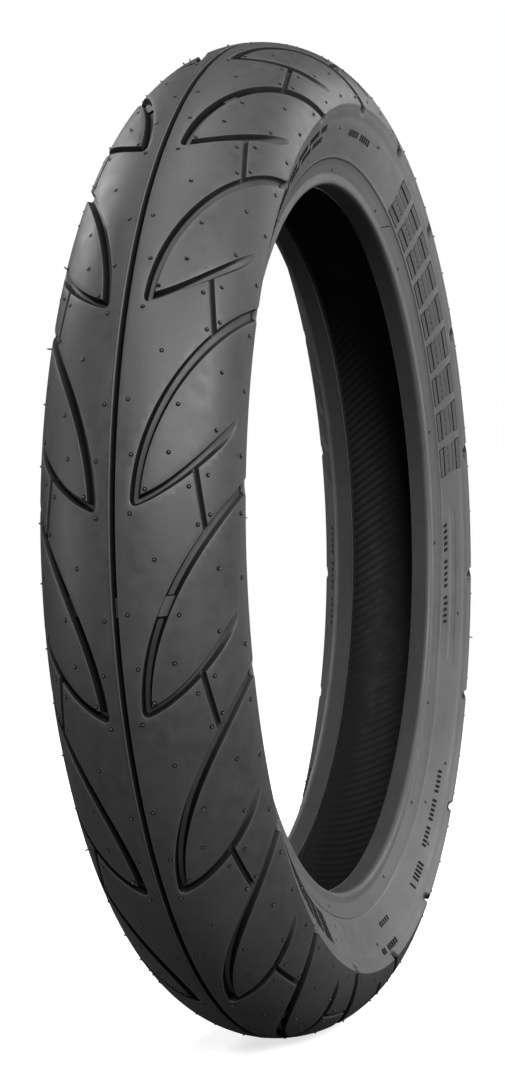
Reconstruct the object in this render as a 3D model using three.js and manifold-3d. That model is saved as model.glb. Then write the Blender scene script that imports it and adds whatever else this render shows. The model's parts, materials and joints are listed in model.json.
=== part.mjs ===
// Motorcycle tyre, size 110/80-17, bias-ply build, as the separate pieces that are cured together.
// Millimetres. The axle is the Y axis, +Z is up, and the origin is the centre of the wheel.
// "Left" pieces are on the +Y side. Profiles are drawn as (radius, distance along the axle).

import * as THREE from "three";
import { mergeVertices } from "three/addons/utils/BufferGeometryUtils.js";
import Module from "manifold-3d";

const wasm = await Module();
wasm.setup();

// ---- Driving dimensions ----

const TYRE_RADIUS = 304;
const SECTION_WIDTH = 110.4;
const SHOULDER_RADIUS = 263.6;
const SHOULDER_TURN = 1.34; // how far the tread arc turns from the crown to its edge, in radians
const SIDEWALL_PULL = { down: 7.4, in: 2.2 }; // from the shoulder to the sidewall curve's control point

const BEAD_SEAT_RADIUS = 217;
const BEAD_FACE = 36.3; // from the centre plane to the side face that bears on the rim flange
const BEAD_FACE_TOP_RADIUS = 223.7;
const BEAD_CORE_WIDTH = 5.2;
const BEAD_CORE_SIDES = 6;
const HEEL_CHAMFER = 2.2;

const PLY_CROWN_DEPTH = 10.8; // from the tread surface down to the outer carcass ply
const PLY_SHOULDER_DEPTH = 6.6;
const FLANK_PULL_BEAD = { up: 9.5, out: 1.1 }; // how the ply's flank curve leaves the bead
const FLANK_PULL_SHOULDER = { down: 17, in: 3.5 }; // and how it meets the shoulder
const FLANK_CORNER = 0.55; // the flank's one corner, as a share of that curve
const TURN_UP_START = 0.8; // above the top of the bead's side face
const TURN_UP_TOP = 0.385; // as a share of the sidewall curve
const TURN_UP_SINK = { up: 1.5, in: 4.6 }; // from the sidewall's face there

const PLY_THICKNESS = 0.6;
const LINER_THICKNESS = 0.9;
const FLIPPER_THICKNESS = 0.5;
const CHAFER_THICKNESS = 0.6;
const RIM_STRIP_THICKNESS = 1;
const BREAKER_THICKNESS = 0.6;
const TREAD_BASE_THICKNESS = 0.8;
const EDGE_STRIP_TIP = 0.4; // thickness of the breaker edge strip where it runs out
const FILLER_FOOT_INSET = 0.6;
const GAP = 0.2; // between neighbouring layers
const CUT_GAP = 0.3; // between pieces whose faces are not parallel

const PITCHES = 18; // tread pattern repeats round the tyre
const PITCH_ANGLE = (2 * Math.PI) / PITCHES;
const PATTERN_START = THREE.MathUtils.degToRad(1.5); // leaf tips, from the -X side towards +Z
const SIDE_STAGGER = THREE.MathUtils.degToRad(-0.5); // the left half of the pattern, against the right
const CENTRE_GROOVE_WIDTH = 3;
const LONG_ARM_WIDTHS = [5.2, 6.6]; // at the crown end and at the shoulder
const SHORT_ARM_WIDTHS = [4.2, 6.2];
const LINK_WIDTH = 3.3;
const GROOVE_DEPTH_CROWN = 4.6;
const GROOVE_DEPTH_SHOULDER = 3;
const WEAR_BARS = 6;
const WEAR_BAR_HEIGHT = 1.2;
const WEAR_BAR_LENGTH = 11;
const WEAR_BAR_START = THREE.MathUtils.degToRad(-8.2); // middle of the first bar
const CUT_OVERRUN = 3; // how far cutting shapes stand above the tread
const ROOT_DEPTH = 0.5; // how far a wear bar reaches below the groove floor

const RING_SEGMENTS = 32; // flats round every ring
const TREAD_ARC_SEGMENTS = 8; // flats across the tread
const SIDEWALL_SEGMENTS = 4;
const SAME_POINT = 1e-3; // points nearer than this are joined

// ---- Outer shape ----

const HALF_WIDTH = SECTION_WIDTH / 2;
const TREAD_WIDE = HALF_WIDTH / Math.sin(SHOULDER_TURN);
const TREAD_TALL = (TYRE_RADIUS - SHOULDER_RADIUS) / (1 - Math.cos(SHOULDER_TURN));
const TREAD_CENTRE = TYRE_RADIUS - TREAD_TALL;
const TREAD_ARC_RADIUS = (TREAD_WIDE + TREAD_TALL) / 2;
const TREAD_ARC_HALF = TREAD_ARC_RADIUS * SHOULDER_TURN;

const profilePoint = (radius, along) => new THREE.Vector2(radius, along);

// A point of the elliptical tread arc, raised by `height` from the tread surface.
function treadPoint(turn, height = 0) {
  return profilePoint(
    TREAD_CENTRE + (TREAD_TALL + height) * Math.cos(turn),
    (TREAD_WIDE + height) * Math.sin(turn),
  );
}

// The outer face of the sidewall, from the top of the bead's side face to the edge of the tread.
const sidewallCurve = new THREE.QuadraticBezierCurve(
  profilePoint(BEAD_FACE_TOP_RADIUS, BEAD_FACE),
  profilePoint(SHOULDER_RADIUS - SIDEWALL_PULL.down, HALF_WIDTH - SIDEWALL_PULL.in),
  profilePoint(SHOULDER_RADIUS, HALF_WIDTH),
);

// ---- The carcass line ----
// Every layer is laid against one line: the outer face of the outer carcass ply. The line runs from the
// crown down to the bead, round the bead core and up again. A layer is the strip between two distances
// from the line, positive towards the air inside.

const LINER_SIDE = PLY_THICKNESS + GAP + PLY_THICKNESS + GAP;
const CHAFER_SIDE = LINER_SIDE;
const RIM_STRIP_SIDE = CHAFER_SIDE + CHAFER_THICKNESS + GAP;
const BEAD_WRAP = RIM_STRIP_SIDE + RIM_STRIP_THICKNESS;
const CORE_SIDE = GAP + FLIPPER_THICKNESS + GAP;
const BREAKER_INNER_SIDE = -GAP - BREAKER_THICKNESS;
const BREAKER_OUTER_SIDE = BREAKER_INNER_SIDE - GAP - BREAKER_THICKNESS;
const TREAD_BASE_SIDE = BREAKER_OUTER_SIDE - GAP - TREAD_BASE_THICKNESS;

const FOOT_OUTER = BEAD_FACE - BEAD_WRAP;
const FOOT_INNER = FOOT_OUTER - BEAD_CORE_WIDTH - 2 * CORE_SIDE;
const FOOT_RADIUS = BEAD_SEAT_RADIUS + BEAD_WRAP;
const CORE_TOP_RADIUS = FOOT_RADIUS + CORE_SIDE + BEAD_CORE_WIDTH;
const PLY_TALL = TREAD_TALL - PLY_CROWN_DEPTH;
const PLY_WIDE = TREAD_WIDE - PLY_SHOULDER_DEPTH;

// Places along the line are counted in stations from the crown. The line's corners are half a station
// from the crown and then one station apart.
const station = {
  crown: 0.5,
  shoulder: 3.5,
  flank: 4.5,
  coreTop: 5.5,
  footInner: 6.5,
  footOuter: 7.5,
  turnUp: 8.5,
  turnUpTop: 9.5,
};

// Where the layers end, in stations.
const BREAKER_OUTER_END = 2.15;
const BREAKER_INNER_END = 2.42;
const TREAD_BASE_END = 2.9;
const TREAD_BASE_POCKET_END = 3; // the hollow of the tread cap that holds the tread base
const TREAD_CAP_END = 3.48;
const SIDEWALL_FLANK_END = station.shoulder + 0.65;
const LINER_END = station.footInner - 0.04;
const FLIPPER_START = station.coreTop + 0.04;
const FLIPPER_END = station.turnUp - 0.04;
const CHAFER_END = station.turnUp + 0.22;
const RIM_STRIP_END = station.turnUp + 0.27;
const OUTER_PLY_END = station.turnUpTop - 0.35;
const END_GAP = 0.02; // between the ends of two pieces, in stations
const RIM_STRIP_TOP = 0.13; // where the rim strip ends on the sidewall curve, as a share of it
const RIM_STRIP_TOP_GAP = 0.01;

function halfCarcassLine() {
  const points = [];
  for (let s = station.crown; s <= station.shoulder; s++) {
    const turn = (SHOULDER_TURN * s) / station.shoulder;
    points.push(
      profilePoint(TREAD_CENTRE + PLY_TALL * Math.cos(turn), PLY_WIDE * Math.sin(turn)),
    );
  }
  const shoulder = points.at(-1);
  const coreTop = profilePoint(CORE_TOP_RADIUS, FOOT_INNER);
  const flank = new THREE.CubicBezierCurve(
    coreTop,
    profilePoint(coreTop.x + FLANK_PULL_BEAD.up, coreTop.y + FLANK_PULL_BEAD.out),
    profilePoint(shoulder.x - FLANK_PULL_SHOULDER.down, shoulder.y - FLANK_PULL_SHOULDER.in),
    shoulder,
  );
  points.push(flank.getPoint(FLANK_CORNER), coreTop);
  points.push(profilePoint(FOOT_RADIUS, FOOT_INNER), profilePoint(FOOT_RADIUS, FOOT_OUTER));
  points.push(profilePoint(BEAD_FACE_TOP_RADIUS + TURN_UP_START, FOOT_OUTER));
  const face = sidewallCurve.getPoint(TURN_UP_TOP);
  points.push(profilePoint(face.x + TURN_UP_SINK.up, face.y - TURN_UP_SINK.in));
  return points;
}

const halfLine = halfCarcassLine();
const mirrorPoint = (p) => profilePoint(p.x, -p.y);
const carcassLine = [...halfLine.map(mirrorPoint).reverse(), ...halfLine];

// The line moved sideways by `distance`, with mitred corners.
function offsetLine(line, distance) {
  const normalOf = (a, b) => {
    const step = b.clone().sub(a).normalize();
    return profilePoint(-step.y, step.x);
  };
  return line.map((point, i) => {
    const before = i > 0 ? normalOf(line[i - 1], point) : normalOf(point, line[1]);
    const after = i < line.length - 1 ? normalOf(point, line[i + 1]) : before;
    const mitre = before.clone().add(after).divideScalar(1 + before.dot(after));
    return point.clone().addScaledVector(mitre, distance);
  });
}

// The stretch of the moved carcass line between two stations, left side negative.
function stretch(distance, from, to) {
  const line = offsetLine(carcassLine, distance);
  const centre = (line.length - 1) / 2;
  const pointAt = (index) => {
    const corner = Math.min(Math.floor(index), line.length - 2);
    return line[corner].clone().lerp(line[corner + 1], index - corner);
  };
  const points = [pointAt(centre + from)];
  for (let i = Math.floor(centre + from) + 1; i < centre + to; i++) points.push(line[i]);
  points.push(pointAt(centre + to));
  return points;
}

function layerProfile(near, far, from, to) {
  return [...stretch(near, from, to), ...stretch(far, from, to).reverse()];
}

// ---- Solids ----

// A ring whose closed profile is `points`, in either order.
function ring(points) {
  const outline = THREE.ShapeUtils.isClockWise(points) ? [...points].reverse() : points;
  return new THREE.LatheGeometry([...outline, outline[0]], RING_SEGMENTS);
}

function solidOf(geometry) {
  const bare = geometry.clone();
  bare.deleteAttribute("normal");
  bare.deleteAttribute("uv");
  const merged = mergeVertices(bare, SAME_POINT);
  return new wasm.Manifold(
    new wasm.Mesh({
      numProp: 3,
      vertProperties: merged.attributes.position.array,
      triVerts: new Uint32Array(merged.index.array),
    }),
  );
}

function geometryOf(solid) {
  const mesh = solid.getMesh();
  const geometry = new THREE.BufferGeometry();
  geometry.setAttribute("position", new THREE.BufferAttribute(mesh.vertProperties, 3));
  geometry.setIndex(new THREE.BufferAttribute(mesh.triVerts, 1));
  return geometry;
}

const joined = (geometries) => geometries.map(solidOf).reduce((all, solid) => all.add(solid));

// ---- Tread pattern ----
// Grooves are drawn flat, as (distance from the crown, distance round the tyre), on the right half,
// and then wrapped on to the tread.

const grooveDepth = (lateral) =>
  THREE.MathUtils.lerp(GROOVE_DEPTH_CROWN, GROOVE_DEPTH_SHOULDER, lateral / TREAD_ARC_HALF);

const aboveTread = () => CUT_OVERRUN;

const roundTyre = (degrees) => THREE.MathUtils.degToRad(degrees) * TYRE_RADIUS;

// A solid band along a flat curve, wrapped on to the right half of the tread. Its width changes evenly
// from one end to the other, and `bottom` and `top` give its levels at a distance from the crown.
function treadBand(curve, [widthFrom, widthTo], steps, bottom, top) {
  const band = new THREE.BoxGeometry(1, 1, 1, 1, steps, 1).toNonIndexed();
  const position = band.getAttribute("position");
  for (let i = 0; i < position.count; i++) {
    const t = position.getY(i) + 0.5;
    const along = curve.getTangent(t);
    const side = position.getX(i) * THREE.MathUtils.lerp(widthFrom, widthTo, t);
    const flat = curve.getPoint(t).addScaledVector(new THREE.Vector2(along.y, -along.x), side);
    const level = position.getZ(i) > 0 ? top(flat.x) : bottom(flat.x);
    const onProfile = treadPoint(flat.x / TREAD_ARC_RADIUS, level);
    const angle = flat.y / TYRE_RADIUS;
    position.setXYZ(i, -onProfile.x * Math.cos(angle), -onProfile.y, onProfile.x * Math.sin(angle));
  }
  return band;
}

// The same geometry on the other side of the centre plane, with its faces still pointing outwards.
function mirrored(geometry) {
  const copy = geometry.clone().scale(1, -1, 1);
  const position = copy.getAttribute("position");
  for (let i = 0; i < position.count; i += 3) {
    const [x, y, z] = [position.getX(i), position.getY(i), position.getZ(i)];
    position.setXYZ(i, position.getX(i + 1), position.getY(i + 1), position.getZ(i + 1));
    position.setXYZ(i + 1, x, y, z);
  }
  return copy;
}

// One leaf: a long arm that curves out to the shoulder, a shorter one below it, and the link between
// the short arm and the long arm of the next leaf.
function leafGrooves() {
  const flatPoint = (lateral, degrees) => new THREE.Vector2(lateral, roundTyre(degrees));
  const longArm = new THREE.CubicBezierCurve(
    flatPoint(11.5, 0.5),
    flatPoint(13.2, 8.9),
    flatPoint(45.2, 17.7),
    flatPoint(TREAD_ARC_HALF + CUT_OVERRUN, 22.7),
  );
  const shortArm = new THREE.QuadraticBezierCurve(
    flatPoint(11.5, 0.2),
    flatPoint(34, 1.6),
    flatPoint(66.5, 9),
  );
  const link = new THREE.LineCurve(flatPoint(41.4, 3.5), flatPoint(47.1, -2.6));
  const floor = (lateral) => -grooveDepth(lateral);
  return [
    treadBand(longArm, LONG_ARM_WIDTHS, 4, floor, aboveTread),
    treadBand(shortArm, SHORT_ARM_WIDTHS, 2, floor, aboveTread),
    treadBand(link, [LINK_WIDTH, LINK_WIDTH], 1, floor, aboveTread),
  ];
}

function centreGroove() {
  const top = TYRE_RADIUS + CUT_OVERRUN;
  const bottom = TYRE_RADIUS - GROOVE_DEPTH_CROWN;
  const half = CENTRE_GROOVE_WIDTH / 2;
  return ring([
    profilePoint(bottom, -half),
    profilePoint(top, -half),
    profilePoint(top, half),
    profilePoint(bottom, half),
  ]);
}

function treadGrooves() {
  const cuts = [centreGroove()];
  for (const groove of leafGrooves()) {
    for (let i = 0; i < PITCHES; i++) {
      const angle = PATTERN_START + i * PITCH_ANGLE;
      cuts.push(groove.clone().rotateY(angle));
      cuts.push(mirrored(groove).rotateY(angle + SIDE_STAGGER));
    }
  }
  return joined(cuts);
}

// Low bars across the floor of the centre groove, which show when the tread is worn down.
function wearBars() {
  const across = new THREE.LineCurve(
    new THREE.Vector2(-CUT_GAP, 0),
    new THREE.Vector2(CENTRE_GROOVE_WIDTH, 0),
  );
  const under = (lateral) => -grooveDepth(lateral) - ROOT_DEPTH;
  const over = (lateral) => WEAR_BAR_HEIGHT - grooveDepth(lateral);
  const bar = treadBand(across, [WEAR_BAR_LENGTH, WEAR_BAR_LENGTH], 1, under, over);
  const bars = [];
  for (let i = 0; i < WEAR_BARS; i++) {
    const angle = WEAR_BAR_START + (i * 2 * Math.PI) / WEAR_BARS;
    bars.push(bar.clone().rotateY(angle), mirrored(bar).rotateY(angle));
  }
  return joined(bars);
}

// ---- Tread and breakers ----

function treadCap() {
  const outer = [];
  for (let i = 0; i <= TREAD_ARC_SEGMENTS; i++) {
    const turn = THREE.MathUtils.lerp(SHOULDER_TURN, -SHOULDER_TURN, i / TREAD_ARC_SEGMENTS);
    outer.push(treadPoint(turn));
  }
  const edge = stretch(-CUT_GAP, -TREAD_CAP_END, TREAD_CAP_END);
  const pocket = stretch(TREAD_BASE_SIDE - CUT_GAP, -TREAD_BASE_POCKET_END, TREAD_BASE_POCKET_END);
  const blank = ring([...outer, edge.at(0), ...pocket, edge.at(-1)]);
  return geometryOf(solidOf(blank).subtract(treadGrooves().subtract(wearBars())));
}

// A layer that crosses the crown, the same on both sides.
function crownLayer(side, thickness, end) {
  return ring(layerProfile(side, side + thickness, -end, end));
}

const treadBase = () => crownLayer(TREAD_BASE_SIDE, TREAD_BASE_THICKNESS, TREAD_BASE_END);
const breakerPlyOuter = () => crownLayer(BREAKER_OUTER_SIDE, BREAKER_THICKNESS, BREAKER_OUTER_END);
const breakerPlyInner = () => crownLayer(BREAKER_INNER_SIDE, BREAKER_THICKNESS, BREAKER_INNER_END);

// A gum wedge that tapers away from the breaker edges.
function breakerEdgeStrip() {
  const from = BREAKER_INNER_END + END_GAP;
  const [thickLow, thinLow] = stretch(-GAP, from, TREAD_BASE_END);
  const [thickHigh] = stretch(BREAKER_OUTER_SIDE, from, TREAD_BASE_END);
  const [, thinHigh] = stretch(-GAP - EDGE_STRIP_TIP, from, TREAD_BASE_END);
  return ring([thickLow, thinLow, thinHigh, thickHigh]);
}

// ---- Carcass ----

const carcassPlyOuter = () => crownLayer(0, PLY_THICKNESS, OUTER_PLY_END);
const carcassPlyInner = () => crownLayer(PLY_THICKNESS + GAP, PLY_THICKNESS, station.turnUpTop);
const innerLiner = () => crownLayer(LINER_SIDE, LINER_THICKNESS, LINER_END);

// ---- Beads and sidewalls, left side ----

// A hoop of wound wire with a hexagonal section, flat sides facing the bead seat and the filler.
function beadCore() {
  const half = BEAD_CORE_WIDTH / 2;
  const centre = profilePoint(FOOT_RADIUS + CORE_SIDE + half, FOOT_OUTER - CORE_SIDE - half);
  const cornerAngle = (2 * Math.PI) / BEAD_CORE_SIDES;
  const corners = [];
  for (let i = 0; i < BEAD_CORE_SIDES; i++) {
    const angle = i * cornerAngle;
    const reach = profilePoint(Math.sin(angle) / Math.sin(cornerAngle), Math.cos(angle));
    corners.push(centre.clone().addScaledVector(reach, half));
  }
  return ring(corners);
}

// A wedge of hard rubber that stands on the core and fills the space between ply and turn-up.
function beadFiller() {
  const foot = CORE_TOP_RADIUS + GAP;
  const [inner] = stretch(-CORE_SIDE, station.flank, station.coreTop);
  const [, outer] = stretch(-CORE_SIDE, station.turnUp, station.turnUpTop);
  return ring([
    profilePoint(foot, FOOT_INNER + CORE_SIDE + FILLER_FOOT_INSET),
    profilePoint(foot, FOOT_OUTER - CORE_SIDE),
    inner.clone().lerp(outer, 0.5),
    inner,
  ]);
}

function beadFlipper() {
  return ring(layerProfile(-GAP - FLIPPER_THICKNESS, -GAP, FLIPPER_START, FLIPPER_END));
}

function chafer() {
  const far = CHAFER_SIDE + CHAFER_THICKNESS;
  return ring(layerProfile(CHAFER_SIDE, far, station.footInner, CHAFER_END));
}

function rimStrip() {
  const inner = stretch(RIM_STRIP_SIDE, station.footInner, RIM_STRIP_END);
  const [toe] = stretch(BEAD_WRAP, station.footInner, RIM_STRIP_END);
  return ring([
    ...inner,
    sidewallCurve.getPoint(RIM_STRIP_TOP),
    sidewallCurve.getPoint(0),
    profilePoint(BEAD_SEAT_RADIUS + HEEL_CHAMFER, BEAD_FACE),
    profilePoint(BEAD_SEAT_RADIUS, BEAD_FACE - HEEL_CHAMFER),
    toe,
  ]);
}

function sidewall() {
  const foot = RIM_STRIP_TOP + RIM_STRIP_TOP_GAP;
  const face = [];
  for (let i = 0; i <= SIDEWALL_SEGMENTS; i++) {
    face.push(sidewallCurve.getPoint(THREE.MathUtils.lerp(foot, 1, i / SIDEWALL_SEGMENTS)));
  }
  face.at(-1).x -= CUT_GAP;
  const besideFlank = stretch(-CUT_GAP, station.shoulder + END_GAP, SIDEWALL_FLANK_END);
  const turnUpSide = CHAFER_SIDE - GAP + CUT_GAP;
  const besideTurnUp = stretch(turnUpSide, RIM_STRIP_END + END_GAP, station.turnUpTop);
  return ring([...face, ...besideFlank, ...besideTurnUp.reverse()]);
}

// ---- Assembly ----

const tyre = new THREE.Group();

function rubber(color, roughness) {
  return new THREE.MeshStandardMaterial({ color, roughness, metalness: 0 });
}

function steel() {
  return new THREE.MeshStandardMaterial({ color: 0x8c7a55, roughness: 0.4, metalness: 0.9 });
}

function addPiece(name, geometry, material) {
  const piece = new THREE.Mesh(geometry, material);
  piece.name = name;
  tyre.add(piece);
}

function addPair(name, geometry, material) {
  addPiece(name + "_left", geometry, material);
  addPiece(name + "_right", geometryOf(solidOf(mirrored(geometry.toNonIndexed()))), material);
}

addPiece("tread_cap", treadCap(), rubber(0x3a3a3b, 0.85));
addPiece("tread_base", treadBase(), rubber(0x2b2b2c, 0.9));
addPiece("breaker_ply_outer", breakerPlyOuter(), rubber(0x5a5348, 0.95));
addPiece("breaker_ply_inner", breakerPlyInner(), rubber(0x5a5348, 0.95));
addPiece("carcass_ply_outer", carcassPlyOuter(), rubber(0x4d473e, 0.95));
addPiece("carcass_ply_inner", carcassPlyInner(), rubber(0x4d473e, 0.95));
addPiece("inner_liner", innerLiner(), rubber(0x1a1a1b, 0.6));
addPair("breaker_edge_strip", breakerEdgeStrip(), rubber(0x262627, 0.9));
addPair("sidewall", sidewall(), rubber(0x444546, 0.75));
addPair("bead_core", beadCore(), steel());
addPair("bead_filler", beadFiller(), rubber(0x222223, 0.8));
addPair("bead_flipper", beadFlipper(), rubber(0x4d473e, 0.95));
addPair("chafer", chafer(), rubber(0x35322d, 0.95));
addPair("rim_strip", rimStrip(), rubber(0x2e2e2f, 0.7));

export default tyre;
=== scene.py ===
"""Motorcycle tyre, size 110/80-17: the visible rubber, moulded marks and vent stubs round the CAD frame.

Shapes are worked out in millimetres and turned into metres when a mesh is made. A place on the tyre is
(radius, along, angle): the distance from the axle, the distance along the axle (+Y), and the turn round
the axle from the -X side towards +Z. The "right" half of the tyre is on the -Y side.
"""

import json
import math
import random

import bmesh
import bpy
import numpy as np
from mathutils import Matrix, Vector
from mathutils.geometry import delaunay_2d_cdt

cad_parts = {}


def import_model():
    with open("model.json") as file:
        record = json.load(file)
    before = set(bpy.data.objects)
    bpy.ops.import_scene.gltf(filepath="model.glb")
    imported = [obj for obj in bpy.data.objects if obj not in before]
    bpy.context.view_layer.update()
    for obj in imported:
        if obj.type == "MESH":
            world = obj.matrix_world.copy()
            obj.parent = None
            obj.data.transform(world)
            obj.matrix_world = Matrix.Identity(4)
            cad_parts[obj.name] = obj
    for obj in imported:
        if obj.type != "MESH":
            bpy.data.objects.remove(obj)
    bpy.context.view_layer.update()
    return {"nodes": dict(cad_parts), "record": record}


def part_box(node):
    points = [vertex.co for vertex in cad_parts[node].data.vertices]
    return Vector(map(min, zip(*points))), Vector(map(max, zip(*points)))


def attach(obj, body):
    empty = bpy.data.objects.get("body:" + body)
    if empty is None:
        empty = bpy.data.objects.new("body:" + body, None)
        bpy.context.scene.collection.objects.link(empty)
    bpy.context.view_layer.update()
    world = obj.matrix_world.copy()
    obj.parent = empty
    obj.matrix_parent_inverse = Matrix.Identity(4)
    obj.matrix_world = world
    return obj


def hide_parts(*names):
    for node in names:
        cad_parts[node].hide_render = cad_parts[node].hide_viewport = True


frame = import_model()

MM = 0.001
FULL_TURN = 2 * math.pi
RIGHT = -1
LEFT = 1
SIDES = {"left": LEFT, "right": RIGHT}

# ---- Sizes read from the frame, in millimetres ----


def box_mm(node):
    low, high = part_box(node)
    return np.array(low) / MM, np.array(high) / MM


def mount_mm(name):
    """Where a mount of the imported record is."""
    mount = next(m for m in frame["record"]["mounts"] if m["name"] == name)
    return np.array(mount["pos_m"]) / MM


LAYER_GAP = 0.3
TYRE_RADIUS = box_mm("tread_cap")[1][2]
HALF_WIDTH = box_mm("tread_cap")[1][1]
SHOULDER_RADIUS = box_mm("sidewall_left")[1][2] + LAYER_GAP
BEAD_FACE = mount_mm("bead_face_left")[1]

# ---- Tread ----

SHOULDER_TURN = 1.34
TREAD_WIDE = HALF_WIDTH / math.sin(SHOULDER_TURN)
TREAD_TALL = (TYRE_RADIUS - SHOULDER_RADIUS) / (1 - math.cos(SHOULDER_TURN))
TREAD_CENTRE = TYRE_RADIUS - TREAD_TALL

PITCHES = 18
PITCH_LENGTH = FULL_TURN * TYRE_RADIUS / PITCHES
ONE_DEGREE = FULL_TURN * TYRE_RADIUS / 360
PATTERN_START = 1.5 * ONE_DEGREE
LEFT_STAGGER = -0.5 * ONE_DEGREE
CENTRE_GROOVE_WIDTH = 3.0
GROOVE_DEPTH = 4.6
LINK_DEPTH = 3.2
ARM_END_DEPTH = 2.8

# A groove's side: distance outside its edge, and the share of the groove's depth there.
GROOVE_SIDE = ((0.45, 0.0), (0.12, 0.025), (-0.06, 0.12), (-0.55, 0.84), (-1.2, 0.97), (-1.7, 1.0))

# How much painted shade falls on a groove's walls, and how much painted highlight runs along its lip, at
# distances outside a groove's edge.
GROOVE_SHADE = ((-1.7, 0.08), (-1.2, 0.95), (-0.1, 1.0), (0.1, 0.0))
GROOVE_LIP_HIGHLIGHT = ((-0.1, 0.0), (0.1, 1.0), (0.5, 0.0))

WEAR_BARS = 6
WEAR_BAR_START = -9.2 * ONE_DEGREE
WEAR_BAR_LENGTH = 2.1 * ONE_DEGREE
WEAR_BAR_HEIGHT = 1.2
BAR_FOOT = 1.5

# Cuts across a wear bar: the share of its length, the painted shade there (a shadow line at each end) and the
# painted highlight there (on the bar's top).
WEAR_BAR_CUTS = (
    (0.0, 1.0, 0.0), (0.045, 1.0, 0.0), (0.055, 0.0, 0.3), (0.945, 0.0, 0.3), (0.955, 1.0, 0.0), (1.0, 1.0, 0.0),
)  # fmt: skip


def arc_table():
    """Turn and arc length along the tread ellipse, from the crown outwards."""
    turns = np.linspace(0, SHOULDER_TURN * 1.1, 1500)
    speed = np.hypot(TREAD_WIDE * np.cos(turns), TREAD_TALL * np.sin(turns))
    steps = (speed[1:] + speed[:-1]) / 2 * np.diff(turns)
    return turns, np.concatenate([[0], np.cumsum(steps)])


ARC_TURNS, ARC_LENGTHS = arc_table()
TREAD_HALF = float(np.interp(SHOULDER_TURN, ARC_TURNS, ARC_LENGTHS))


def wheel_points(radius, along, angle):
    return np.stack([-radius * np.cos(angle), along, radius * np.sin(angle)], axis=-1)


def tread_points(flat, height=0.0):
    """Points on the tread. `flat` holds (distance right of the crown, distance round the tyre)."""
    lateral = flat[:, 0]
    turn = np.sign(lateral) * np.interp(np.abs(lateral), ARC_LENGTHS, ARC_TURNS)
    normal = np.stack([np.cos(turn) / TREAD_TALL, np.sin(turn) / TREAD_WIDE], axis=-1)
    normal /= np.linalg.norm(normal, axis=1, keepdims=True)
    radius = TREAD_CENTRE + TREAD_TALL * np.cos(turn) + normal[:, 0] * height
    along = TREAD_WIDE * np.sin(turn) + normal[:, 1] * height
    return wheel_points(radius, -along, flat[:, 1] / TYRE_RADIUS)


# ---- Meshes ----

HIDDEN = -99.0


def faces_point_in(points, faces):
    """True if a closed mesh has its faces the wrong way round, so that it encloses less than nothing."""
    volume = 0.0
    for size in {len(face) for face in faces}:
        corners = points[np.array([face for face in faces if len(face) == size])]
        for i in range(1, size - 1):
            cross = np.cross(corners[:, i], corners[:, i + 1])
            volume += np.sum(corners[:, 0] * cross)
    return volume < 0


def weld(mesh, distance):
    """Makes points that share a place into one, and turns all faces outwards."""
    shape = bmesh.new()
    shape.from_mesh(mesh)
    bmesh.ops.remove_doubles(shape, verts=shape.verts, dist=distance * MM)
    bmesh.ops.recalc_face_normals(shape, faces=shape.faces)
    shape.to_mesh(mesh)
    shape.free()


def new_piece(name, points, faces, slot, material, *nodes, smooth_below=35, welded=False, **looks):
    """A mesh piece from points in millimetres, riding on the tyre and standing for the CAD `nodes`.
    `looks` are values between 0 and 1 for each point that the material reads: a painted highlight on
    lips, heels and tips, and painted shade on walls, grounds and hollows."""
    points = np.asarray(points)
    step = -1 if faces_point_in(points, faces) else 1
    mesh = bpy.data.meshes.new(name)
    mesh.from_pydata((points * MM).tolist(), [], [[int(i) for i in face[::step]] for face in faces])
    mesh.validate()
    for look, values in looks.items():
        mesh.attributes.new(look, "FLOAT", "POINT").data.foreach_set("value", np.asarray(values, float))
    if welded:
        weld(mesh, 0.01)
    mesh.shade_smooth()
    mesh.set_sharp_from_angle(angle=math.radians(smooth_below))
    mesh.materials.append(material)
    piece = bpy.data.objects.new(name, mesh)
    bpy.context.scene.collection.objects.link(piece)
    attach(piece, "root")
    if nodes:
        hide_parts(*nodes)
    return piece


def grid_faces(rows, columns, close_rows=False, close_columns=False):
    """Quads between the points of a grid, row by row."""
    faces = []
    for row in range(rows if close_rows else rows - 1):
        for column in range(columns if close_columns else columns - 1):
            next_row = (row + 1) % rows
            next_column = (column + 1) % columns
            faces.append(
                (
                    row * columns + column,
                    row * columns + next_column,
                    next_row * columns + next_column,
                    next_row * columns + column,
                )
            )
    return faces


def outline_area(outline):
    radius, along = np.asarray(outline).T
    return 0.5 * np.sum(radius * np.roll(along, -1) - np.roll(radius, -1) * along)


def spun(outline, segments, relief=None, places=None, skew=None):
    """A ring from a closed outline of (radius, along), and the place of each of its points. `places`
    holds a value for each corner of the outline, or HIDDEN for a corner inside the tyre, which has no
    say in which way the face beside it looks. `relief(place, angle)` gives how far each point is raised,
    and `skew` turns each corner's circle of points round the axle."""
    outline = np.asarray(outline, float)
    places = np.zeros(len(outline)) if places is None else np.asarray(places, float)
    skew = np.zeros(len(outline)) if skew is None else skew
    if outline_area(outline) > 0:
        outline, places, skew = outline[::-1], places[::-1], skew[::-1]
    hidden = places == HIDDEN
    after, before = np.roll(outline, -1, axis=0), np.roll(outline, 1, axis=0)
    after = np.where((np.roll(hidden, -1) & ~hidden)[:, None], outline, after)
    before = np.where((np.roll(hidden, 1) & ~hidden)[:, None], outline, before)
    ahead = after - before
    normals = np.stack([-ahead[:, 1], ahead[:, 0]], axis=-1)
    normals /= np.linalg.norm(normals, axis=1, keepdims=True)
    angles = np.arange(segments) * FULL_TURN / segments
    angle, corner = np.meshgrid(angles, np.arange(len(outline)), indexing="ij")
    height = relief(places[corner], angle) if relief else np.zeros(angle.shape)
    radius = outline[corner, 0] + normals[corner, 0] * height
    along = outline[corner, 1] + normals[corner, 1] * height
    points = wheel_points(radius, along, angle + skew[corner]).reshape(-1, 3)
    faces = grid_faces(segments, len(outline), close_rows=True, close_columns=True)
    return points, faces, places[corner].ravel()


# ---- Sections of the CAD rings ----


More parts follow.
